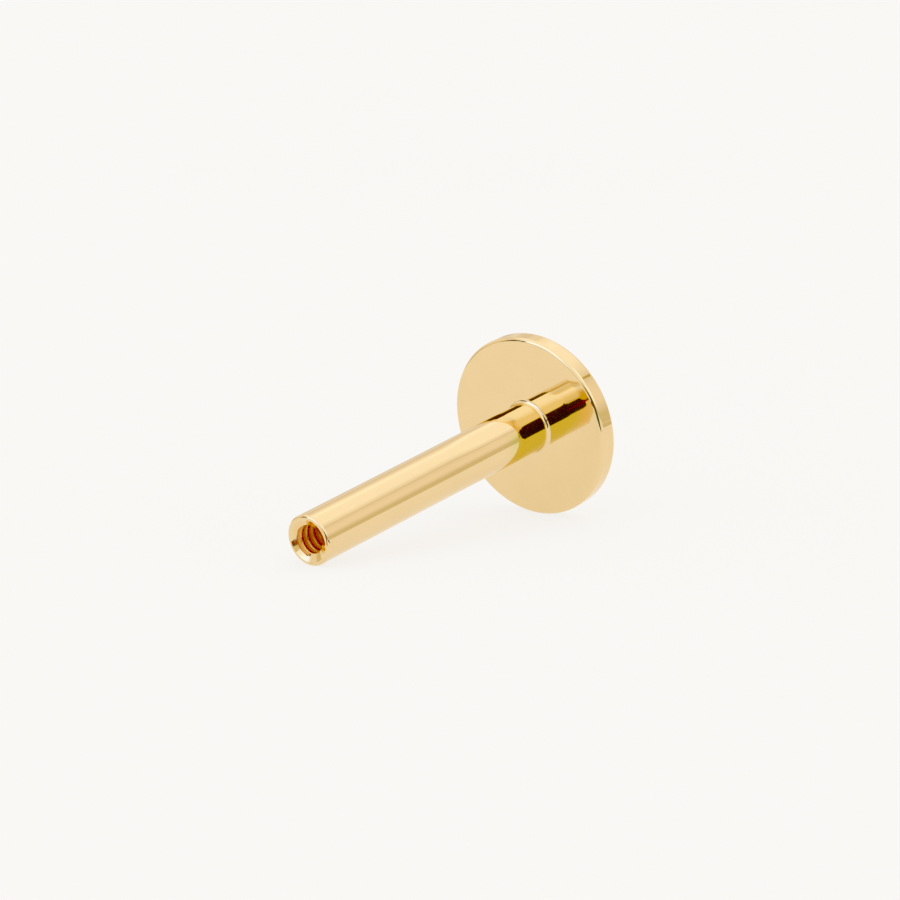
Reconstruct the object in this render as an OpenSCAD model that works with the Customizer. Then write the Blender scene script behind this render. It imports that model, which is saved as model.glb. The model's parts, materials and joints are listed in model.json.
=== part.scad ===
// Flat-back labret stud with an internally threaded post, in millimetres.
// It lies on its side, as it rests on a table: the rim of the disc and the free end touch z = 0.

/* [Disc] */
// Diameter of the flat disc that sits inside the lip
disc_d = 4.4; // [3:0.1:6]
// Thickness of the disc
disc_t = 0.5; // [0.35:0.05:1]
// Rounding of the disc's edge on the post's side
disc_face_r = 0.06; // [0.02:0.01:0.12]
// Rounding of the disc's edge on the far side
disc_back_r = 0.1; // [0.03:0.01:0.2]

/* [Post] */
// Outer diameter of the post
post_d = 1.2; // [1.1:0.05:2]
// Length of the post from the disc to its free end
post_len = 8; // [5:0.5:14]
// Rounding of the outer edge at the free end
post_edge_r = 0.04; // [0.02:0.01:0.06]
// Radius of the solder fillet where the post meets the disc
fillet_r = 0.1; // [0.04:0.01:0.2]

/* [Threaded bore] */
// Diameter of the drilled hole, which the thread's crests keep
bore_d = 0.64; // [0.56:0.01:0.7]
// Depth of the drilled hole, without the drill's tip
bore_depth = 3.4; // [2.6:0.1:4.4]
// Full angle of the drill's tip
drill_angle = 118; // [90:1:140]
// Diameter at the bottom of the thread's groove
thread_d = 0.8; // [0.76:0.01:0.86]
// Distance from one turn of the thread to the next
thread_pitch = 0.2; // [0.175:0.005:0.25]
// Depth of the thread, measured from the free end
thread_depth = 1.6; // [0.8:0.1:2]
// Full angle between the thread's flanks
thread_angle = 60; // [50:1:62]
// Diameter of the countersink at the free end
mouth_d = 1.03; // [0.9:0.01:1.06]
// Full angle of the countersink
mouth_angle = 120; // [80:1:130]

/* [Hidden] */
gold = "#e8c878";
$fn = 96;

disc_r = disc_d / 2;
post_r = post_d / 2;
bore_r = bore_d / 2;
thread_r = thread_d / 2;
mouth_r = mouth_d / 2;
overcut = 0.1;

// The lean at which the disc's edge and the post's end edge touch one level floor.
edge_drop = (disc_r - disc_face_r) - (post_r - post_edge_r);
edge_run = post_len - post_edge_r + disc_face_r;
edge_span = sqrt(pow(edge_drop, 2) + pow(edge_run, 2));
lean = atan2(edge_drop, edge_run) - asin((post_edge_r - disc_face_r) / edge_span);

// Height of the disc's centre, and the stud's reach along the floor to each side of it.
rest_height = (disc_r - disc_face_r) * cos(lean) - disc_face_r * sin(lean) + disc_face_r;
reach_back = (disc_r - disc_back_r) * sin(lean) + (disc_t - disc_back_r) * cos(lean) + disc_back_r;
reach_front = (post_r - post_edge_r) * sin(lean) + (post_len - post_edge_r) * cos(lean) + post_edge_r;

// The thread's groove: its width at a radius, the radii it spans and the rings that make it.
groove_root_w = thread_pitch / 8;
groove_inner_r = bore_r - 0.03;
groove_steps = 24;
groove_turns = thread_depth / thread_pitch + 1;
groove_rings = ceil(groove_turns * groove_steps);
groove_fade = groove_steps * 0.75;

function groove_half_w(r) = groove_root_w / 2 + (thread_r - r) * tan(thread_angle / 2);

// The groove keeps its full depth, then rises out of the wall over its last three quarters of a turn.
function groove_root(i) =
    groove_inner_r + 0.01
    + (thread_r - groove_inner_r - 0.01) * min(1, (groove_rings - i) / groove_fade);

// One ring of the groove: two corners at its root and two inside the bore.
function groove_ring(i) =
    let (
        a = 360 * i / groove_steps,
        z = post_len + thread_pitch * (1 - i / groove_steps),
        r = groove_root(i),
        root = groove_half_w(thread_r),
        inner = groove_half_w(groove_inner_r)
    )
    [
        [r * cos(a), -r * sin(a), z - root],
        [r * cos(a), -r * sin(a), z + root],
        [groove_inner_r * cos(a), -groove_inner_r * sin(a), z + inner],
        [groove_inner_r * cos(a), -groove_inner_r * sin(a), z - inner]
    ];

// A rounded corner of the disc's half section.
module corner(z, r) {
    translate([disc_r - r, z])
        circle(r);
}

// Half section of the disc, from its axis to its rim.
module disc_section() {
    translate([0, -disc_t])
        square([disc_r - max(disc_face_r, disc_back_r), disc_t]);
    translate([0, -disc_t + disc_back_r])
        square([disc_r, disc_t - disc_back_r - disc_face_r]);
    translate([0, -disc_t])
        square([disc_r - disc_back_r, disc_t / 2]);
    translate([0, -disc_t / 2])
        square([disc_r - disc_face_r, disc_t / 2]);
    corner(-disc_face_r, disc_face_r);
    corner(-disc_t + disc_back_r, disc_back_r);
}

// Half section of the solder fillet between post and disc.
module fillet_section() {
    difference() {
        translate([0, -overcut])
            square([post_r + fillet_r, fillet_r + overcut]);
        translate([post_r + fillet_r, fillet_r])
            circle(fillet_r);
    }
}

// Half section of the post, with its rounded end edge.
module post_section() {
    translate([0, -overcut])
        square([post_r, post_len - post_edge_r + overcut]);
    translate([0, -overcut])
        square([post_r - post_edge_r, post_len + overcut]);
    translate([post_r - post_edge_r, post_len - post_edge_r])
        circle(post_edge_r);
}

// Disc, fillet and post, which are soldered into one.
module blank() {
    rotate_extrude()
        union() {
            disc_section();
            fillet_section();
            post_section();
        }
}

// The drilled hole with its tip, and the countersink that opens it.
module drilled_hole() {
    tip = bore_r / tan(drill_angle / 2);
    flare = overcut * tan(mouth_angle / 2);
    sink = (mouth_r - bore_r) / tan(mouth_angle / 2);
    rotate_extrude()
        polygon([
            [0, post_len - bore_depth - tip],
            [bore_r, post_len - bore_depth],
            [bore_r, post_len - sink],
            [mouth_r + flare, post_len + overcut],
            [0, post_len + overcut]
        ]);
}

// The thread's helical groove, as the solid that cuts it.
module thread_groove() {
    points = [for (i = [0:groove_rings]) each groove_ring(i)];
    last = 4 * groove_rings;
    sides = [
        for (i = [0:groove_rings - 1], k = [0:3])
            let (a = 4 * i + k, b = 4 * i + (k + 1) % 4)
                each [[a, a + 4, b], [b, a + 4, b + 4]]
    ];
    caps = [
        [0, 1, 2, 3],
        [last + 3, last + 2, last + 1, last]
    ];
    polyhedron(points, concat(sides, caps), convexity = 10);
}

// The whole stud, with the disc's inner face at z = 0 and the free end up.
module standing_stud() {
    difference() {
        blank();
        drilled_hole();
        thread_groove();
    }
}

// The stud as it lies: leaning on its disc, with the free end toward -Y.
module labret_stud() {
    color(gold)
        translate([0, (reach_front - reach_back) / 2, rest_height])
            rotate([90 + lean, 0, 0])
                standing_stud();
}

labret_stud();
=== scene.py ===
"""A flat-back labret stud of polished gold on a pale table, as numpy surfaces with procedural finishes."""
import json
from math import ceil, cos, pi, radians, sin, tan

import bpy
import numpy as np
from bpy.props import FloatProperty, FloatVectorProperty, IntProperty, PointerProperty
from mathutils import Matrix, Vector


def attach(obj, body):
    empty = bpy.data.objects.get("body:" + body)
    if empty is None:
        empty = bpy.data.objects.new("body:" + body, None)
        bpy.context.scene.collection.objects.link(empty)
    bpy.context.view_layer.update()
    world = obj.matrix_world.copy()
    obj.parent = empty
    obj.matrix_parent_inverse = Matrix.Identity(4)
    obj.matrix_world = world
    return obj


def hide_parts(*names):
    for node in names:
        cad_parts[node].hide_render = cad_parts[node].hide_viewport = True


bl_info = {
    "name": "Labret stud",
    "version": (1, 0, 0),
    "blender": (4, 5, 0),
    "location": "View3D > Sidebar > Labret stud",
    "description": "Builds a flat-back labret stud with an internal thread, its gold finishes and its studio",
    "category": "Object",
}

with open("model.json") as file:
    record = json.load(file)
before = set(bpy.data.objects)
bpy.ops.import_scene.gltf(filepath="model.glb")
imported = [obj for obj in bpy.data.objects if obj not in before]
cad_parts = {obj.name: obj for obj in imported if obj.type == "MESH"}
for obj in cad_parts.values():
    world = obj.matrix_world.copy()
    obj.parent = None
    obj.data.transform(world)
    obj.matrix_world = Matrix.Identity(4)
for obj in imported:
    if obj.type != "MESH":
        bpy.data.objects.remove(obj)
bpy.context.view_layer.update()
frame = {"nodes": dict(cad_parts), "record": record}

MM = 0.001
NODE = "labret_stud"
TABLE_WIDTH = 4.0
POLISHED, SOLDERED, CUT = range(3)

# The picture's width, the width of the camera's sensor, and how near and how far the camera sees, in metres.
PICTURE_PX = 900
SENSOR_MM = 36
SEEN_FROM, SEEN_TO = 1 * MM, 10

# How finely the outlines are stepped, what counts as no distance, and how far a corner's normal may turn.
ARC_STEP = radians(12)
LEAST_ARC_STEPS = 4
LONGEST_FACE = 0.1 * MM
SECTION_STEPS = 8
TINY = 1e-6 * MM
MOST_TURNED = radians(60)

# The thread: half the width of the groove's bottom as a share of the pitch, and the turns of its run-out.
ROOT_SHARE = 1 / 16
FADE_TURNS = 0.75

# The heights between which the foot's tilt sets in and ends.
TILT_BEGINS = (0.75 * MM, 0.95 * MM)
TILT_ENDS = (2.1 * MM, 3.4 * MM)

# The side where the countersink's normals are turned further, fitted to the picture, and the cosines between
# which their turn sets in.
MOUTH_SIDE = radians(218)
MOUTH_SPREAD = (0.17, 0.56)

# The painted reflection by the post's foot: an olive shade that stands in for the shaded table that the gold
# mirrors there. In millimetres: the heights where it is full and gone, its side, and how far to that side it
# begins and is full. The disc's face, at height 0, keeps its own tone.
PAINTED_REFLECTION_ENDS = (0.95, 1.6)
PAINTED_REFLECTION_SIDE = (0.766, -0.643, 0.0)
PAINTED_REFLECTION_EDGE = (0.165, 0.318)
OFF_FACE = 0.01

# The groove's tone, painted shade that makes the thread's groove and the deep bore darker and browner where
# little light reaches: the share of the groove's depth where it is full, how many millimetres past the cone
# it begins, and the pitches down the bore between which all of the bore takes it.
GROOVE_SHARE = 0.4
PAST_CONE = 0.006
GLOOM_PITCHES = (2.5, 5)

# The buffing marks: the directions that they cross in, in degrees, and how often they come in a millimetre.
HAIRLINE_TURNS = (25, 100)
HAIRLINE_SCALE = (2.0, 46.0, 2.0)

# The values of a cloud of noise between which the polish gets duller, and how much rougher that is.
CLEAR, DULL = 0.42, 0.72
DULLER = {"mirror_gold": 0.03, "seam_gold": 0.05, "cut_gold": 0.05}

# A colour mix has mixes of other kinds too, whose sockets have the same names, so its own go by number.
MIX_SHARE, MIX_FIRST, MIX_SECOND, MIX_RESULT = 0, 6, 7, 2

# The walls' light just beside the seam and just over it, against that of the walls, and the light that the
# colour ramp holds as 1.
BESIDE_SEAM = 0.97
OVER_SEAM = 1.04
STRONGEST = 1.6

# Each lamp's azimuth and elevation, the angles where its light begins to fade and ends, and its added light,
# which below 0 takes light away.
LAMPS = (
    (-18, 29, (10, 30), (0.22, 0.50, 1.05)),
    (22, 24, (5, 20), (0.08, 0.22, 0.38)),
    (90, 35, (12, 30), (0.25, 0.30, 0.45)),
    (-136, 27, (4, 9), (-0.11, -0.11, -0.11)),
    (-148, 46, (4, 14), (0.08, 0.09, 0.09)),
    (-19, 17, (4, 10), (-0.18, -0.33, -0.70)),
)

# Each cloth's name, its finish, whether it is set out from the disc's face or the mouth, its two bearings in
# degrees, and its start and end, which are each a distance from there and a height, in millimetres.
HUNG_AT = 90
LOW = 0.02
CLOTHS = (
    ("camera_side_strip", "black_cloth", "face", (22, 60), (7.0, LOW), (HUNG_AT, LOW)),
    ("camera_side_rise", "black_cloth", "face", (24, 60), (HUNG_AT, LOW), (HUNG_AT, 29)),
    ("tent_corner", "tent_corner", "face", (143.5, 152), (HUNG_AT, 75), (HUNG_AT, 80)),
    ("left_side", "side_cloth", "face", (-47, -38.5), (HUNG_AT, 2), (HUNG_AT, 44)),
    ("left_side_top", "side_cloth", "face", (-38.5, -33.5), (HUNG_AT, 14), (HUNG_AT, 50)),
    ("mouth_side", "mouth_cloth", "mouth", (28, 50), (1.0, 0.03), (30, 0.03)),
    ("mouth_card", "mouth_card", "mouth", (23, 39.5), (8, 0.6), (8, 3.6)),
    ("right_side", "grey_card", "face", (112, 165), (45, LOW), (400, LOW)),
)


def stud_axes():
    """Where the post's axis meets the disc's inner face, and the stud's own three directions as rows.

    The first row lies across the disc, and the third runs along the post toward its free end.
    """
    mounts = {m["name"]: m for m in frame["record"]["mounts"]}
    along = np.array(mounts["post"]["axis"])
    along /= np.linalg.norm(along)
    on_post = np.array(mounts["post"]["pos_m"])
    on_face = np.array(mounts["lip_face"]["pos_m"])
    across = np.array([1.0, 0.0, 0.0])
    centre = on_post + along * ((on_face - on_post) @ along)
    return centre, np.array([across, np.cross(along, across), along])


def cad_sizes():
    """The frame's own measures of the disc, the post and the bore, in metres."""
    centre, axes = stud_axes()
    mesh = frame["nodes"][NODE].data
    points = np.empty(3 * len(mesh.vertices), np.float32)
    mesh.vertices.foreach_get("co", points)
    local = (points.reshape(-1, 3) - centre) @ axes.T
    dims = {m["name"]: m["dims"] for m in frame["record"]["mounts"]}
    return {
        "disc_r": float(np.hypot(local[:, 0], local[:, 1]).max()),
        "disc_t": float(-local[:, 2].min()),
        "post_r": dims["post"]["r_mm"] * MM,
        "post_len": float(local[:, 2].max()),
        "bore_r": dims["thread_bore"]["r_mm"] * MM,
    }


CAD = cad_sizes()


def length(name, about, default):
    """A length in metres."""
    return FloatProperty(name=name, description=about, default=default, precision=6, unit="LENGTH")


def turn(name, about, degrees):
    """An angle, given here in degrees."""
    return FloatProperty(name=name, description=about, default=radians(degrees), unit="ROTATION")


def factor(name, about, default):
    """A share from 0 to 1."""
    return FloatProperty(name=name, description=about, default=default, min=0, max=1, subtype="FACTOR")


def brightness(name, about, default):
    """Light against that of the table, which is about 1."""
    return FloatProperty(name=name, description=about, default=default, min=0)


def colour(name, about, default):
    """A scene-linear colour."""
    return FloatVectorProperty(
        name=name, description=about, default=default, size=3, min=0, max=1, subtype="COLOR"
    )


class StudSizes(bpy.types.PropertyGroup):
    """The stud's sizes."""

    disc_r: length("Disc radius", "Radius of the flat disc", CAD["disc_r"])
    disc_t: length("Disc thickness", "Thickness of the flat disc", CAD["disc_t"])
    face_edge: length("Face edge", "Rounding of the disc's edge on the post's side", 0.1 * MM)
    back_edge: length("Back edge", "Rounding of the disc's edge on the far side", 0.1 * MM)
    roll_off: length("Roll-off", "Width over which polishing turned the face down to its edge", 0.22 * MM)
    roll_tilt: turn("Roll-off tilt", "How far the face has turned where its edge begins", 7)
    post_r: length("Post radius", "Radius of the post", CAD["post_r"])
    post_len: length("Post length", "Length of the post from the disc to its free end", CAD["post_len"])
    fillet: length("Solder fillet", "Radius of the solder at the foot of the post", 0.1 * MM)
    foot_tilt: turn("Foot tilt", "How far the post's surface by its foot is turned toward its end", 5.8)
    end_edge: length("End edge", "Rounding of the outer edge at the free end", 0.07 * MM)
    mouth_r: length("Mouth radius", "Radius of the countersink at the free end", 0.515 * MM)
    mouth_edge: length("Mouth edge", "Rounding of the countersink's edge", 0.02 * MM)
    mouth_half: turn("Countersink", "Half the full angle of the countersink", 60)
    mouth_tilt: turn("Mouth tilt", "How much further inward the countersink's surface is turned", 13)
    bore_r: length("Bore radius", "Radius of the drilled hole, which the thread's crests keep", CAD["bore_r"])
    bore_depth: length("Bore depth", "Depth of the drilled hole without the drill's tip", 3.4 * MM)
    drill_half: turn("Drill tip", "Half the full angle of the drill's tip", 59)
    thread_r: length("Thread radius", "Radius at the bottom of the thread's groove", 0.4 * MM)
    crest_edge: length("Crest edge", "Rounding of the thread's crests", 0.07 * MM)
    root_edge: length("Root edge", "Rounding of the thread's roots", 0.01 * MM)
    pitch: length("Thread pitch", "Distance from one turn of the thread to the next", 0.2 * MM)
    thread_depth: length("Thread depth", "Depth of the thread, measured from the free end", 1.6 * MM)
    flank: turn("Flank", "Half the angle between the thread's flanks", 30)
    columns: IntProperty(name="Columns", description="Faces round the stud", default=180, min=24, max=360)


class GoldFinish(bpy.types.PropertyGroup):
    """The gold's colours, and how it was polished, soldered and cut."""

    gold: colour("Gold", "Colour of the polished alloy", (0.905, 0.720, 0.455))
    solder: colour("Solder", "Colour of the seam at the foot of the post", (0.900, 0.735, 0.485))
    cut_gold: colour("Cut gold", "Colour of the thread's crests and the countersink", (0.905, 0.700, 0.420))
    # Painted shade: the groove tone makes the thread's groove and the deep bore darker and browner, where
    # little light reaches.
    groove_gold: colour("Groove gold", "Colour deep in the thread's groove", (0.620, 0.315, 0.100))
    # Painted reflection, not a mark of soldering: an olive shade multiplied into the gold on one side of the
    # post's foot, for the shaded table mirrored there.
    heat: colour("Heat", "What the heat of soldering did to the tone of the post's foot", (0.87, 0.99, 0.81))
    groove_metal: factor("Groove metal", "How metallic the uneven film in the groove leaves it", 0.6)
    polish: factor("Polish", "Roughness of the mirror finish", 0.035)
    solder_polish: factor("Solder polish", "Roughness of the solder seam", 0.06)
    cut: factor("Cut", "Roughness that the cutting tool leaves", 0.12)
    # Painted light: the groove light is a glow that the groove and the deep bore give off, standing in for
    # light bounced inside.
    groove_light: colour("Groove light", "What is left of the light inside", (0.145, 0.113, 0.085))
    groove_cut: factor("Groove cut", "How much rougher the bottom of the groove is", 0.25)
    ripple: length("Ripple", "Height of the soft waves that buffing leaves", 0.0002 * MM)
    hairline: length("Hairline", "Depth of the finest marks in the polish", 0.00001 * MM)
    tool_mark: length("Tool mark", "Depth of the rings that the cutting tool leaves", 0.0003 * MM)


class StudioSet(bpy.types.PropertyGroup):
    """The table, the light round it and the camera."""

    table: colour("Table", "Colour of the pale table", (0.954, 0.940, 0.918))
    glow: factor("Glow", "How much of the table's light comes through it, as on a light table", 0.86)
    ceiling: brightness("Ceiling", "Brightness of the soft ceiling", 1.09)
    seam: brightness("Seam", "Brightness where the walls meet the ceiling", 0.84)
    wall: brightness("Wall", "Brightness of the pale walls", 0.96)
    wall_foot: brightness("Wall foot", "Brightness low on the walls", 0.76)
    warm: colour("Warm", "Tone of the walls", (1.0, 0.957, 0.910))
    warm_foot: colour("Warm foot", "Tone low on the walls", (1.0, 0.950, 0.800))
    cloth: colour("Cloth", "Tone of the black cloth", (0.225, 0.275, 0.30))
    side_cloth: colour("Side cloth", "Tone of the black cloth on the left", (0.25, 0.275, 0.30))
    mouth_cloth: colour("Mouth cloth", "Tone of the brown cloth before the free end", (0.367, 0.247, 0.30))
    mouth_card: colour("Mouth card", "Tone of the small white card before the free end", (0.80, 0.75, 0.62))
    corner: colour("Corner", "Tone of the tent's corner on the right", (0.62, 0.57, 0.36))
    card: colour("Card", "Tone of the grey card on the right", (0.74, 0.70, 0.59))
    black_point: factor("Black point", "The light that the picture shows as black", 0.14)
    azimuth: turn("Azimuth", "The camera's way round the stud, from a look straight along +Y", 39.437)
    elevation: turn("Elevation", "The camera's angle above the table", 9.611)
    distance: length("Distance", "From the camera to the middle of the picture", 85.295 * MM)
    aim_right: length("Aim right", "How far right of the origin the camera aims", 0.402 * MM)
    aim_up: length("Aim up", "How far above the origin the camera aims", 2.031 * MM)
    focal_px: FloatProperty(name="Focal length", description="In pixels of the picture", default=3707.5)


def between(start, end, step):
    """Evenly spaced points strictly between two ends, no further apart than a step."""
    count = max(1, ceil(np.linalg.norm(end - start) / step))
    return start + np.linspace(0, 1, count + 1)[1:-1, None] * (end - start)


def rounded_outline(corners, step):
    """Points and normals along an outline of straight lines, with its corners rounded by arcs.

    Each corner is (distance from the axis, height, rounding), and the outer side is on the right of the way
    along. An arc of rounding q that turns by t starts q tan(t / 2) before its corner, and lies q times its
    normal from its centre. A corner with no rounding stands twice, once with each neighbour's normal.
    """
    places = np.array([c[:2] for c in corners])
    ways = np.diff(places, axis=0)
    ways /= np.linalg.norm(ways, axis=1)[:, None]
    headings = np.unwrap(np.arctan2(ways[:, 1], ways[:, 0]))
    points, headed = [places[:1]], [headings[:1]]
    for i in range(1, len(corners) - 1):
        rounding = corners[i][2]
        bend = headings[i] - headings[i - 1]
        steps = max(LEAST_ARC_STEPS, ceil(abs(bend) / ARC_STEP)) if rounding else 1
        heading = np.linspace(headings[i - 1], headings[i], steps + 1)
        start = places[i] - rounding * abs(tan(bend / 2)) * ways[i - 1]
        normal = outward(heading)
        arc = start + rounding * np.sign(bend) * (normal - normal[0])
        straight = between(points[-1][-1], start, step)
        points += [straight, arc]
        headed += [np.full(len(straight), headings[i - 1]), heading]
    straight = between(points[-1][-1], places[-1], step)
    points += [straight, places[-1:]]
    headed += [np.full(len(straight) + 1, headings[-1])]
    return np.concatenate(points), outward(np.concatenate(headed))


def eased(value, start, end):
    """0 up to the start and 1 from the end on, with a smooth rise between them."""
    share = np.clip((value - start) / (end - start), 0, 1)
    return share * share * (3 - 2 * share)


def outward(heading):
    """The normals on the right of a way along an outline."""
    return np.stack([np.sin(heading), -np.cos(heading)], axis=-1)


class Grid:
    """Rows of points round the axis, with the radius, height and normal of each row and column.

    A normal has its parts away from the axis, round it and along it.
    """

    def __init__(self, radius, height, normal, rows_a_turn=0):
        rows, columns = radius.shape
        self.radius, self.height, self.normal = radius, height, normal
        self.number = np.arange(rows * columns).reshape(rows, columns)
        self.rows_a_turn = rows_a_turn

    def faces(self):
        """The four corners of each face between neighbouring rows and columns, as places in the flat grid.

        The last column joins the first again, a turn's rows higher up where the rows follow a helix.
        """
        rows, columns = self.radius.shape
        row, column = np.meshgrid(np.arange(rows - 1), np.arange(columns), indexing="ij")
        after = (column + 1) % columns
        climbed = np.where(after == 0, self.rows_a_turn, 0)
        over, under = np.maximum(row - climbed, 0), np.maximum(row + 1 - climbed, 0)
        corners = [(row, column), (over, after), (under, after), (row + 1, column)]
        return np.stack([r * columns + c for r, c in corners], axis=-1).reshape(-1, 4)


def turned(points, normals, columns):
    """An outline turned round the axis, so that each column has the same radius, height and normal.

    Rows that coincide get one set of corner numbers, and a row on the axis gets one number.
    """
    wide = np.ones((1, columns))
    normal = np.stack([normals[:, 0], np.zeros(len(normals)), normals[:, 1]], axis=-1)
    grid = Grid(points[:, :1] * wide, points[:, 1:] * wide, normal[:, None] * wide[..., None])
    again = np.concatenate([[False], (np.diff(points, axis=0) == 0).all(axis=1)])
    row = np.maximum.accumulate(np.where(again, 0, np.arange(len(points))))
    grid.number = grid.number[row]
    grid.number = np.where(grid.radius == 0, grid.number[:, :1], grid.number)
    return grid


def thread_top(s):
    """The depth where the threaded wall begins, half way down to where the countersink meets the thread."""
    return (s.mouth_r - s.thread_r) / tan(s.mouth_half) / 2


def thread_foot(s):
    """The depth where the threaded wall ends, a turn below the thread's end."""
    return s.thread_depth + s.pitch


def outer_outline(s):
    """From the middle of the disc's back round the disc, the solder and the post, into the countersink.

    A roll-off of width w and tilt t is an arc of rounding w / (2 tan (t / 2)). Its corner lies w / 2 plus the
    edge's rounding inside the rim, and beyond that corner the face falls by tan t for each step outward.
    """
    reach = s.roll_off / 2 + s.face_edge
    top = thread_top(s)
    corners = [
        (0, -s.disc_t, 0),
        (s.disc_r, -s.disc_t, s.back_edge),
        (s.disc_r, -reach * tan(s.roll_tilt), s.face_edge),
        (s.disc_r - reach, 0, s.roll_off / 2 / tan(s.roll_tilt / 2)),
        (s.post_r, 0, s.fillet),
        (s.post_r, s.post_len, s.end_edge),
        (s.mouth_r, s.post_len, s.mouth_edge),
        (s.mouth_r - top * tan(s.mouth_half), s.post_len - top, 0),
    ]
    return rounded_outline(corners, LONGEST_FACE)


def mouth_turn(s):
    """How much further inward the countersink's normals are turned in each column.

    It is the tilt times an eased share of the cosine of the angle from the turned side.
    """
    angle = 2 * pi * np.arange(s.columns) / s.columns
    return s.mouth_tilt * eased(np.cos(angle - MOUTH_SIDE), *MOUTH_SPREAD)


def outer_grid(s):
    """The outer outline turned round the axis, with some of its normals turned toward the free end.

    By its foot the post's normals are turned by the tilt times an eased rise and fall. The countersink's are
    turned by its own turn, into which its edge eases. A normal turned by t has the parts away cos t - along
    sin t and away sin t + along cos t.
    """
    points, normals = outer_outline(s)
    grid = turned(points, normals, s.columns)
    radius, height = points.T
    by_foot = eased(height, *TILT_BEGINS) * (1 - eased(height, *TILT_ENDS)) * np.isclose(radius, s.post_r)
    inward = np.clip(np.arctan2(-normals[:, 0], normals[:, 1]) / (pi / 2 - s.mouth_half), 0, 1)
    inward *= (radius < s.post_r - s.end_edge) & (height > s.post_len / 2)
    tilt = s.foot_tilt * by_foot[:, None] + inward[:, None] * mouth_turn(s)
    away, around, along = np.moveaxis(grid.normal, -1, 0)
    cosine, sine = np.cos(tilt), np.sin(tilt)
    grid.normal = np.stack([away * cosine - along * sine, around, away * sine + along * cosine], axis=-1)
    return grid


def bore_outline(s):
    """The drilled hole below the thread, down to the point that the drill's tip left."""
    bottom = s.post_len - s.bore_depth
    corners = [
        (s.bore_r, s.post_len - thread_foot(s), 0),
        (s.bore_r, bottom, 0),
        (0, bottom - s.bore_r / tan(s.drill_half), 0),
    ]
    return rounded_outline(corners, LONGEST_FACE)


def thread_section(s):
    """One pitch of the thread, from the middle of a crest down to the middle of the next, and its normals.

    The groove has a flat bottom, and widens by tan flank on each side for each step toward the axis.
    """
    root = s.pitch * ROOT_SHARE
    rim = root + (s.thread_r - s.bore_r) * tan(s.flank)
    corners = [
        (s.bore_r, s.pitch / 2, 0),
        (s.bore_r, rim, s.crest_edge),
        (s.thread_r, root, s.root_edge),
        (s.thread_r, -root, s.root_edge),
        (s.bore_r, -rim, s.crest_edge),
        (s.bore_r, -s.pitch / 2, 0),
    ]
    points, normals = rounded_outline(corners, s.pitch / SECTION_STEPS)
    return points[:-1], normals[:-1]


def threaded_wall(s, upper, lower):
    """The countersink and the thread, as rows that follow the helix between an upper and a lower grid.

    A row is one point of the thread's section in one of its turns. At a share u of the way round it lies u
    pitches higher, and it stops at the wall's top and foot. The wall is where the thread or the countersink's
    cone is wider, and the groove gets shallower over its last three quarters of a turn. The thread's normal
    leans along the helix by minus its axial part times pitch / (2 pi radius).
    """
    section, normals = thread_section(s)
    rows_a_turn = len(section)
    turns = np.arange(ceil(thread_foot(s) / s.pitch) + 2)
    turns_down = np.repeat(turns, rows_a_turn)[:, None] - np.arange(s.columns) / s.columns
    section, normals = np.tile(section, (len(turns), 1)), np.tile(normals, (len(turns), 1))[:, None]
    depth = np.clip(s.pitch * turns_down - section[:, 1:], thread_top(s), thread_foot(s))
    fade = np.clip((s.thread_depth / s.pitch - turns_down) / FADE_TURNS, 0, 1)
    groove = section[:, :1] - (1 - fade) * (s.thread_r - s.bore_r)
    cone = s.mouth_r - depth * tan(s.mouth_half)
    radius = np.maximum(np.maximum(groove, s.bore_r), cone)
    lean = -normals[..., 1] * s.pitch / (2 * pi * radius)
    flat = np.zeros_like(lean)
    normal = np.stack([normals[..., 0] + flat, lean, normals[..., 1] + flat], axis=-1)
    normal = np.where((groove < s.bore_r)[..., None], [-1, 0, 0], normal)
    half = s.mouth_half - mouth_turn(s)
    on_cone = np.stack([-np.cos(half), 0 * half, np.sin(half)], axis=-1)
    normal = np.where((cone >= radius)[..., None], on_cone, normal)
    wall = Grid(radius, s.post_len - depth, normal, rows_a_turn)
    wall.number = wall.number + upper.number.size
    lower.number = lower.number + upper.number.size + wall.number.size
    wall.number = np.where(depth == thread_top(s), upper.number[-1], wall.number)
    wall.number = np.where(depth == thread_foot(s), lower.number[0], wall.number)
    return wall


def placed(grids, columns):
    """The corners of all the grids and their normals in the row frame, and the corners' radius and height."""
    centre, axes = stud_axes()
    angle = 2 * pi * np.arange(columns) / columns
    out = np.stack([np.cos(angle), np.sin(angle), 0 * angle], axis=-1)
    around = np.stack([-np.sin(angle), np.cos(angle), 0 * angle], axis=-1)
    up = np.array([0.0, 0.0, 1.0])
    radius, height = np.concatenate([g.radius for g in grids]), np.concatenate([g.height for g in grids])
    normal = np.concatenate([g.normal for g in grids])
    places = radius[..., None] * out + height[..., None] * up
    facing = normal[..., :1] * out + normal[..., 1:2] * around + normal[..., 2:] * up
    facing /= np.linalg.norm(facing, axis=-1, keepdims=True)
    return places.reshape(-1, 3) @ axes + centre, facing.reshape(-1, 3) @ axes, radius.ravel(), height.ravel()


def agreeing(facing, places, corners):
    """The normals at the faces' corners, where one that is turned too far from its face's own takes that one.

    A face's own normal is along the cross product of the ways from its first corner to its third and from its
    second to its last. The angle between two normals is the arc cosine of their dot product.
    """
    first, second, third, last = (places[corners[:, i]] for i in (0, 1, 2, -1))
    own = np.cross(third - first, last - second)
    own = (own / np.linalg.norm(own, axis=1, keepdims=True))[:, None]
    given = facing[corners]
    far = (given * own).sum(axis=-1, keepdims=True) < cos(MOST_TURNED)
    return np.where(far, own, given).reshape(-1, 3)


def face_finishes(s, faces, wall_begins, radius, height):
    """Each face's finish: cut from where the threaded wall begins, soldered on the fillet, else polished."""
    first = faces[:, 0]
    in_seam = (height[first] > -TINY) & (height[first] < s.fillet - TINY)
    in_seam &= radius[first] < s.post_r + s.fillet + TINY
    return np.where(first >= wall_begins, CUT, np.where(in_seam, SOLDERED, POLISHED))


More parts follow.
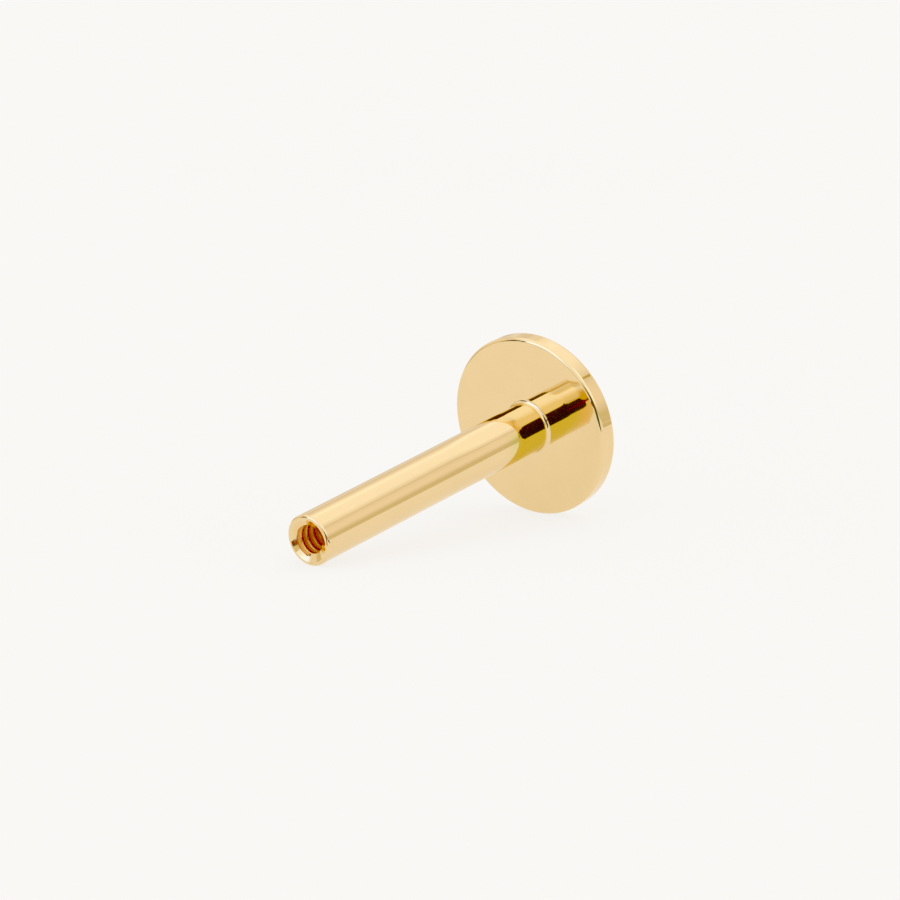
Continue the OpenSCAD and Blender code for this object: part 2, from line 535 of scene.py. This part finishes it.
def add_surface(name, places, facing, number, faces, finish):
    """A closed mesh of the faces, in which corners of one number are joined and each corner keeps its normal.

    A face with two corners of one number becomes a triangle, and a face with fewer than three is left out.
    """
    joined = number[faces]
    doubled = joined == np.roll(joined, -1, axis=1)
    apart = (joined[:, 0] != joined[:, 2]) & (joined[:, 1] != joined[:, 3])
    whole, cut = (doubled.sum(axis=1) == 0) & apart, (doubled.sum(axis=1) == 1) & apart
    four, three = faces[whole], faces[cut][~doubled[cut]].reshape(-1, 3)
    corners = np.concatenate([four.ravel(), three.ravel()])
    used, vertex = np.unique(number[corners], return_inverse=True)
    fours, threes = vertex[: four.size].reshape(-1, 4), vertex[four.size :].reshape(-1, 3)
    mesh = bpy.data.meshes.new(name)
    mesh.from_pydata(places[used].tolist(), [], fours.tolist() + threes.tolist())
    mesh.polygons.foreach_set("material_index", np.concatenate([finish[whole], finish[cut]]).astype(np.int32))
    mesh.shade_smooth()
    normals = np.concatenate([agreeing(facing, places, four), agreeing(facing, places, three)])
    mesh.normals_split_custom_set(normals.tolist())
    piece = bpy.data.objects.new(name, mesh)
    bpy.context.scene.collection.objects.link(piece)
    return piece


def node_group(name, inputs, outputs):
    """An empty shader node group with sockets of these names and kinds, and its two end nodes."""
    group = bpy.data.node_groups.new(name, "ShaderNodeTree")
    for sockets, way in ((inputs, "INPUT"), (outputs, "OUTPUT")):
        for label, kind in sockets.items():
            group.interface.new_socket(name=label, in_out=way, socket_type="NodeSocket" + kind)
    return group, group.nodes.new("NodeGroupInput"), group.nodes.new("NodeGroupOutput")


def feed(tree, node, sources):
    """Give a node's named or numbered inputs a link or a value."""
    for socket, source in sources.items():
        if isinstance(source, bpy.types.NodeSocket):
            tree.links.new(source, node.inputs[socket])
        else:
            node.inputs[socket].default_value = source


def put(tree, kind, sources=None, **settings):
    """A new node with its settings, whose named or numbered inputs take a link or a value."""
    node = tree.nodes.new("ShaderNode" + kind)
    for key, value in settings.items():
        setattr(node, key, value)
    feed(tree, node, sources or {})
    return node


def math_node(tree, operation, *terms):
    """The result of a math node of these terms."""
    return put(tree, "Math", dict(enumerate(terms)), operation=operation).outputs[0]


def smooth_rise(tree, value, start, end):
    """0 before the start and 1 past the end, with a smooth rise between them, whichever is the lower."""
    limits = {"Value": value, "From Min": start, "From Max": end}
    return put(tree, "MapRange", limits, interpolation_type="SMOOTHSTEP").outputs[0]


def along_z(tree, vector):
    """A vector's part along Z."""
    return put(tree, "SeparateXYZ", {0: vector}).outputs["Z"]


def along_way(tree, vector, way):
    """How far a vector reaches in a direction, which is their dot product."""
    return put(tree, "VectorMath", {0: vector, 1: tuple(way)}, operation="DOT_PRODUCT").outputs["Value"]


def mixed(tree, share, first, second, blend="MIX"):
    """The first colour where the share is 0, blended with the second by that share."""
    sources = {MIX_SHARE: share, MIX_FIRST: first, MIX_SECOND: second}
    return put(tree, "Mix", sources, data_type="RGBA", blend_type=blend).outputs[MIX_RESULT]


def source_of(shader, socket):
    """What already feeds one of the shader's inputs."""
    return shader.inputs[socket].links[0].from_socket


def buffed_group():
    """Polishing: the height of soft waves and crossing hairlines, and where the polish is duller.

    The height is noise times the ripple, plus noise stretched in each of two directions times the hairline.
    """
    group, given, result = node_group(
        "Buffed",
        {"Place": "Vector", "Ripple": "Float", "Hairline": "Float"},
        {"Height": "Float", "Dull": "Float"},
    )
    place = given.outputs["Place"]
    wave = put(group, "TexNoise", {"Vector": place, "Scale": 1.6, "Detail": 1.0, "Roughness": 0.4})
    height = math_node(group, "MULTIPLY", wave.outputs["Fac"], given.outputs["Ripple"])
    for turned_by in HAIRLINE_TURNS:
        rotation = (radians(90), 0, radians(turned_by))
        stretched = put(group, "Mapping", {"Vector": place, "Rotation": rotation, "Scale": HAIRLINE_SCALE})
        lines = put(group, "TexNoise", {"Vector": stretched.outputs[0], "Scale": 1.0, "Detail": 3.0})
        line = math_node(group, "MULTIPLY", lines.outputs["Fac"], given.outputs["Hairline"])
        height = math_node(group, "ADD", height, line)
    cloud = put(group, "TexNoise", {"Vector": place, "Scale": 2.7, "Detail": 4.0, "Roughness": 0.6})
    dull = put(group, "MapRange", {"Value": cloud.outputs["Fac"], "From Min": CLEAR, "From Max": DULL})
    feed(group, result, {"Height": height, "Dull": dull.outputs[0]})
    return group


def tooled_group():
    """Turning: the height of fine rings round the axis, uneven in depth, as a cutting tool leaves them.

    They are noise along the distance from the axis, the root of x squared plus y squared, plus the height.
    """
    group, given, result = node_group("Tooled", {"Place": "Vector", "Depth": "Float"}, {"Height": "Float"})
    apart = put(group, "SeparateXYZ", {0: given.outputs["Place"]})
    across = math_node(group, "POWER", apart.outputs["X"], 2.0)
    across = math_node(group, "MULTIPLY_ADD", apart.outputs["Y"], apart.outputs["Y"], across)
    radius = math_node(group, "SQRT", across)
    ring = math_node(group, "ADD", radius, apart.outputs["Z"])
    rings = put(group, "TexNoise", {"W": ring, "Scale": 60.0, "Detail": 3.0}, noise_dimensions="1D")
    height = math_node(group, "MULTIPLY", rings.outputs["Fac"], given.outputs["Depth"])
    feed(group, result, {"Height": height})
    return group


def sunken_group():
    """Depth: 0 up to one distance from the axis and 1 from another on, with a smooth rise between them."""
    group, given, result = node_group(
        "Sunken",
        {"Place": "Vector", "Inner": "Float", "Outer": "Float"},
        {"Deep": "Float", "Away": "Float"},
    )
    level = put(group, "VectorMath", {0: given.outputs["Place"], 1: (1, 1, 0)}, operation="MULTIPLY")
    away = put(group, "VectorMath", {0: level.outputs[0]}, operation="LENGTH").outputs["Value"]
    rise = smooth_rise(group, away, given.outputs["Inner"], given.outputs["Outer"])
    feed(group, result, {"Deep": rise, "Away": away})
    return group


def drift_group():
    """Colour: a tone times 1 plus an amount of centred noise, so that it drifts lighter and darker."""
    group, given, result = node_group(
        "Drift", {"Place": "Vector", "Tone": "Color", "Scale": "Float", "Amount": "Float"}, {"Color": "Color"}
    )
    spread = {"Vector": given.outputs["Place"], "Scale": given.outputs["Scale"], "Detail": 3.0}
    cloud = put(group, "TexNoise", spread)
    swing = math_node(group, "SUBTRACT", cloud.outputs["Fac"], 0.5)
    value = math_node(group, "MULTIPLY_ADD", swing, given.outputs["Amount"], 1.0)
    toned = put(group, "HueSaturation", {"Color": given.outputs["Tone"], "Value": value})
    feed(group, result, {"Color": toned.outputs[0]})
    return group


def shared_group(build):
    """A node group that its function builds once."""
    name = build.__name__.removesuffix("_group").capitalize()
    return bpy.data.node_groups.get(name) or build()


def use(tree, build, sources):
    """A group node of a shared group."""
    return put(tree, "Group", sources, node_tree=shared_group(build))


def new_material(name, plain):
    """A material with only an output and a shader of plain inputs in its tree, and that tree and shader."""
    material = bpy.data.materials.new(name)
    material.use_nodes = True
    tree = material.node_tree
    tree.nodes.clear()
    shader = put(tree, "BsdfPrincipled", plain)
    put(tree, "OutputMaterial", {"Surface": shader.outputs[0]})
    return material, tree, shader


def object_place(tree):
    """Object coordinates, in metres."""
    return put(tree, "TexCoord").outputs["Object"]


def sheet_place(tree):
    """Object coordinates, in millimetres."""
    return put(tree, "Mapping", {"Vector": object_place(tree), "Scale": (1 / MM,) * 3}).outputs[0]


def stud_place(tree):
    """Millimetres along the stud's own directions, from the middle of the disc's face."""
    centre, axes = stud_axes()
    turn_back = Matrix(axes.tolist()).to_euler("XYZ")
    moved = put(tree, "VectorMath", {0: object_place(tree), 1: tuple(centre)}, operation="SUBTRACT")
    settings = {"Vector": moved.outputs[0], "Rotation": turn_back, "Scale": (1 / MM,) * 3}
    return put(tree, "Mapping", settings).outputs[0]


def gold_material(name, tone, roughness, finish, tool_mark=0.0):
    """Gold with drifting colour, uneven polish, buffing waves and hairlines, and tool rings where it was cut.

    It comes with its tree, its shader and its place, for what only one finish has.
    """
    material, tree, shader = new_material(name, {"Metallic": 1.0})
    place = stud_place(tree)
    drift = use(tree, drift_group, {"Place": place, "Tone": (*tone, 1), "Scale": 1.3, "Amount": 0.05})
    waves = {"Place": place, "Ripple": finish.ripple, "Hairline": finish.hairline}
    buffed = use(tree, buffed_group, waves)
    height = buffed.outputs["Height"]
    if tool_mark:
        tooled = use(tree, tooled_group, {"Place": place, "Depth": tool_mark})
        height = math_node(tree, "ADD", height, tooled.outputs["Height"])
    rough = math_node(tree, "MULTIPLY_ADD", buffed.outputs["Dull"], DULLER[name], roughness)
    bump = put(tree, "Bump", {"Height": height, "Distance": 1.0, "Strength": 1.0})
    feed(tree, shader, {"Base Color": drift.outputs[0], "Normal": bump.outputs[0], "Roughness": rough})
    return material, tree, shader, place


def mirror_material(finish):
    """Mirror gold, with a painted reflection on one side of the post's foot.

    The painted reflection is an olive shade multiplied into the gold, standing in for the shaded table that
    the gold mirrors there. Its share is the product of how near the disc, how far off its face and how far
    round it lies.
    """
    material, tree, shader, place = gold_material("mirror_gold", finish.gold, finish.polish, finish)
    height = along_z(tree, place)
    full, gone = PAINTED_REFLECTION_ENDS
    near = smooth_rise(tree, height, gone, full)
    reached = smooth_rise(tree, along_way(tree, place, PAINTED_REFLECTION_SIDE), *PAINTED_REFLECTION_EDGE)
    on_post = math_node(tree, "GREATER_THAN", height, OFF_FACE)
    share = math_node(tree, "MULTIPLY", math_node(tree, "MULTIPLY", near, on_post), reached)
    # Painted reflection: multiplies the gold by the olive shade of the mirrored, shaded table.
    reflection_painted = mixed(tree, share, source_of(shader, "Base Color"), (*finish.heat, 1), "MULTIPLY")
    feed(tree, shader, {"Base Color": reflection_painted})
    return material


def cut_material(finish, sizes):
    """Cut gold that gets browner, rougher and less metallic in the thread's groove and deep in the bore,
    where its browner tone is painted shade and a faint glow is painted light.

    The countersink's cone keeps its tone: there the depth times the cone's slope, plus the distance from the
    axis, is no more than the mouth's radius.
    """
    tone, mark = finish.cut_gold, finish.tool_mark
    material, tree, shader, place = gold_material("cut_gold", tone, finish.cut, finish, mark)
    full = (1 - GROOVE_SHARE) * sizes.bore_r + GROOVE_SHARE * sizes.thread_r
    ends = {"Inner": sizes.bore_r / MM, "Outer": full / MM}
    sunken = use(tree, sunken_group, {"Place": place, **ends})
    depth = math_node(tree, "SUBTRACT", sizes.post_len / MM, along_z(tree, place))
    past_cone = math_node(tree, "MULTIPLY_ADD", depth, tan(sizes.mouth_half), sunken.outputs["Away"])
    inside = math_node(tree, "GREATER_THAN", past_cone, sizes.mouth_r / MM + PAST_CONE)
    in_groove = math_node(tree, "MULTIPLY", sunken.outputs["Deep"], inside)
    gloom = smooth_rise(tree, depth, *(pitches * sizes.pitch / MM for pitches in GLOOM_PITCHES))
    deep = math_node(tree, "MAXIMUM", in_groove, gloom)
    # Painted shade: the gold turns to the darker groove tone where it lies deep.
    toned = mixed(tree, deep, source_of(shader, "Base Color"), (*finish.groove_gold, 1))
    # Painted light: a faint glow where the bore lies deep.
    glow = mixed(tree, deep, (0, 0, 0, 1), (*finish.groove_light, 1))
    rough = math_node(tree, "MULTIPLY_ADD", deep, finish.groove_cut, source_of(shader, "Roughness"))
    metal = math_node(tree, "MULTIPLY_ADD", deep, finish.groove_metal - 1, 1.0)
    tones = {"Base Color": toned, "Emission Color": glow, "Emission Strength": 1.0}
    feed(tree, shader, {**tones, "Roughness": rough, "Metallic": metal})
    return material


def table_material(studio):
    """Pale matt card lit from below, with a faint drift of tone."""
    plain = {"Emission Strength": studio.glow, "Roughness": 0.9, "Specular IOR Level": 0.0}
    material, tree, shader = new_material("table_card", plain)
    faint = {"Place": sheet_place(tree), "Scale": 0.02, "Amount": 0.01}
    lit = use(tree, drift_group, {**faint, "Tone": (*studio.table, 1)})
    matt = use(tree, drift_group, {**faint, "Tone": (*(c * (1 - studio.glow) for c in studio.table), 1)})
    feed(tree, shader, {"Base Color": matt.outputs[0], "Emission Color": lit.outputs[0]})
    return material


def cloth_material(name, tone):
    """Dull cloth that looks equally bright from everywhere, with the faint unevenness of its weave."""
    dull = {"Base Color": (0, 0, 0, 1), "Roughness": 1.0, "Specular IOR Level": 0.0}
    material, tree, shader = new_material(name, {**dull, "Emission Strength": 1.0})
    weave = {"Place": sheet_place(tree), "Scale": 0.4, "Amount": 0.1}
    woven = use(tree, drift_group, {**weave, "Tone": (*tone, 1)})
    feed(tree, shader, {"Emission Color": woven.outputs[0]})
    return material


def stage_sheet(name, corners, material):
    """A flat sheet of the stage through its corners."""
    mesh = bpy.data.meshes.new(name)
    mesh.from_pydata([tuple(c) for c in corners], [], [tuple(range(len(corners)))])
    mesh.materials.append(material)
    sheet = bpy.data.objects.new(name, mesh)
    bpy.context.scene.collection.objects.link(sheet)
    return sheet


def bearing(degrees):
    """The level direction at an azimuth, where 0 is toward -Y and 90 is toward +X."""
    return np.array([sin(radians(degrees)), -cos(radians(degrees)), 0.0])


def hung_cloth(name, foot, bearings, start, end, material):
    """Cloth that only reflections see, between two bearings from a foot on the table.

    It spans from its start to its end, which are each a distance from the foot and a height, in millimetres.
    """
    left, right = (bearing(b) for b in bearings)
    (near, low), (far, high) = start, end
    ends = ((left, near, low), (right, near, low), (right, far, high), (left, far, high))
    upward = np.array([0.0, 0.0, 1.0])
    corners = [foot * [1, 1, 0] + (away * way + rise * upward) * MM for way, away, rise in ends]
    cloth = stage_sheet(name, corners, material)
    cloth.visible_camera = cloth.visible_diffuse = cloth.visible_shadow = False


def lamp_glow(tree, way, azimuth, elevation, spread):
    """How much of a lamp's light comes from a direction: all near it, and none beyond a spread in degrees."""
    toward = bearing(azimuth) * cos(radians(elevation)) + [0, 0, sin(radians(elevation))]
    full, none = (cos(radians(angle)) for angle in spread)
    return smooth_rise(tree, along_way(tree, way, toward), none, full)


def studio_light(studio):
    """Soft light as in a tent of white cloth: a ceiling, pale walls, a seam, and lamps behind the cloth.

    The height of a direction is the sine of its elevation, and each stop has its elevation, light and tone.
    """
    world = bpy.data.worlds.new("studio")
    world.use_nodes = True
    tree = world.node_tree
    tree.nodes.clear()
    way = put(tree, "TexCoord").outputs["Generated"]
    ramp = put(tree, "ValToRGB", {0: along_z(tree, way)})
    white = (1.0, 1.0, 1.0)
    halfway = (studio.wall_foot + studio.wall) / 2
    beside, over = studio.wall * BESIDE_SEAM, studio.wall * OVER_SEAM
    stops = (
        (0, studio.wall_foot, studio.warm_foot),
        (8, studio.wall_foot, studio.warm_foot),
        (13, halfway, studio.warm),
        (20, studio.wall, studio.warm),
        (27, studio.wall, studio.warm),
        (35, beside, studio.warm),
        (40, studio.seam, studio.warm),
        (42, beside, studio.warm),
        (47, over, white),
        (52, studio.ceiling, white),
    )
    elements = ramp.color_ramp.elements
    elements.remove(elements[1])
    for i, (elevation, light, tone) in enumerate(stops):
        stop = elements.new(sin(radians(elevation))) if i else elements[0]
        stop.position = sin(radians(elevation))
        stop.color = (*(light * c / STRONGEST for c in tone), 1)
    lit = put(tree, "VectorMath", {0: ramp.outputs[0], "Scale": STRONGEST}, operation="SCALE").outputs[0]
    for *aimed, tone in LAMPS:
        strength = lamp_glow(tree, way, *aimed)
        glow = put(tree, "VectorMath", {0: tone, "Scale": strength}, operation="SCALE").outputs[0]
        lit = put(tree, "VectorMath", {0: lit, 1: glow}, operation="ADD").outputs[0]
    light = put(tree, "Background", {"Color": lit, "Strength": 1.0})
    put(tree, "OutputWorld", {"Surface": light.outputs[0]})
    bpy.context.scene.world = world


def studio_camera(studio):
    """The camera at the photograph's angle to the stud.

    It looks from its azimuth and elevation, at its distance from a point right of the origin and above it.
    """
    az, el = studio.azimuth, studio.elevation
    back = Vector((sin(az) * cos(el), -cos(az) * cos(el), sin(el)))
    right = Vector((cos(az), sin(az), 0))
    up = back.cross(right)
    data = bpy.data.cameras.new("camera")
    data.sensor_width = SENSOR_MM
    data.lens = studio.focal_px * SENSOR_MM / PICTURE_PX
    data.clip_start, data.clip_end = SEEN_FROM, SEEN_TO
    camera = bpy.data.objects.new("camera", data)
    camera.location = studio.aim_right * right + studio.aim_up * up + studio.distance * back
    camera.rotation_euler = Matrix((right, up, back)).transposed().to_euler()
    bpy.context.scene.collection.objects.link(camera)
    bpy.context.scene.camera = camera


def picture_tones(studio):
    """Plain display tones with a raised black point, which deepen what the gold mirrors more than once."""
    view = bpy.context.scene.view_settings
    view.view_transform = "Standard"
    view.use_curve_mapping = True
    view.curve_mapping.black_level = (studio.black_point,) * 3
    view.curve_mapping.update()


class AddStud(bpy.types.Operator):
    """Build the stud's surface over the frame's solid and give it its finishes"""

    bl_idname = "labret.add_stud"
    bl_label = "Add stud"

    def execute(self, context):
        sizes, finish = context.scene.stud_sizes, context.scene.gold_finish
        outer, bore = outer_grid(sizes), turned(*bore_outline(sizes), sizes.columns)
        grids = (outer, threaded_wall(sizes, outer, bore), bore)
        places, facing, radius, height = placed(grids, sizes.columns)
        starts = np.cumsum([0] + [g.radius.size for g in grids])
        faces = np.concatenate([start + g.faces() for start, g in zip(starts, grids)])
        number = np.concatenate([g.number.ravel() for g in grids])
        finishes = face_finishes(sizes, faces, starts[1], radius, height)
        stud = add_surface("stud", places, facing, number, faces, finishes)
        seam_gold, *_ = gold_material("seam_gold", finish.solder, finish.solder_polish, finish)
        for material in (mirror_material(finish), seam_gold, cut_material(finish, sizes)):
            stud.data.materials.append(material)
        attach(stud, "root")
        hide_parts(NODE)
        return {"FINISHED"}


class AddStudio(bpy.types.Operator):
    """Lay the pale table, hang the soft light and the cloth, and place the camera"""

    bl_idname = "labret.add_studio"
    bl_label = "Add studio"

    def execute(self, context):
        studio = context.scene.studio_set
        half = TABLE_WIDTH / 2
        corners = [(-half, -half, 0), (half, -half, 0), (half, half, 0), (-half, half, 0)]
        stage_sheet("table", corners, table_material(studio))
        face, axes = stud_axes()
        set_out_from = {"face": face, "mouth": face + CAD["post_len"] * axes[2]}
        tones = {
            "black_cloth": studio.cloth,
            "side_cloth": studio.side_cloth,
            "grey_card": studio.card,
            "mouth_cloth": studio.mouth_cloth,
            "tent_corner": studio.corner,
            "mouth_card": studio.mouth_card,
        }
        finishes = {name: cloth_material(name, tone) for name, tone in tones.items()}
        for name, finish, origin, bearings, start, end in CLOTHS:
            hung_cloth(name, set_out_from[origin], bearings, start, end, finishes[finish])
        studio_light(studio)
        studio_camera(studio)
        picture_tones(studio)
        return {"FINISHED"}


class StudPanel(bpy.types.Panel):
    """The stud's sizes, its finish and its studio, and the steps that build them"""

    bl_idname = "VIEW3D_PT_labret_stud"
    bl_label = "Labret stud"
    bl_space_type = "VIEW_3D"
    bl_region_type = "UI"
    bl_category = "Labret stud"

    def draw(self, context):
        groups = (context.scene.stud_sizes, context.scene.gold_finish, context.scene.studio_set)
        for group in groups:
            box = self.layout.box()
            for key in type(group).__annotations__:
                box.prop(group, key)
        for step in STEPS:
            self.layout.operator(step.bl_idname)


STEPS = (AddStud, AddStudio)
GROUPS = {"stud_sizes": StudSizes, "gold_finish": GoldFinish, "studio_set": StudioSet}
CLASSES = (*GROUPS.values(), *STEPS, StudPanel)


def register():
    """Add the classes to Blender, and the property groups to its scenes."""
    for cls in CLASSES:
        bpy.utils.register_class(cls)
    for name, group in GROUPS.items():
        setattr(bpy.types.Scene, name, PointerProperty(type=group))


def unregister():
    """Take away what register added."""
    for name in GROUPS:
        delattr(bpy.types.Scene, name)
    for cls in reversed(CLASSES):
        bpy.utils.unregister_class(cls)


def main():
    """Register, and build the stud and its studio."""
    register()
    bpy.ops.labret.add_stud()
    bpy.ops.labret.add_studio()


if __name__ == "__main__":
    main()
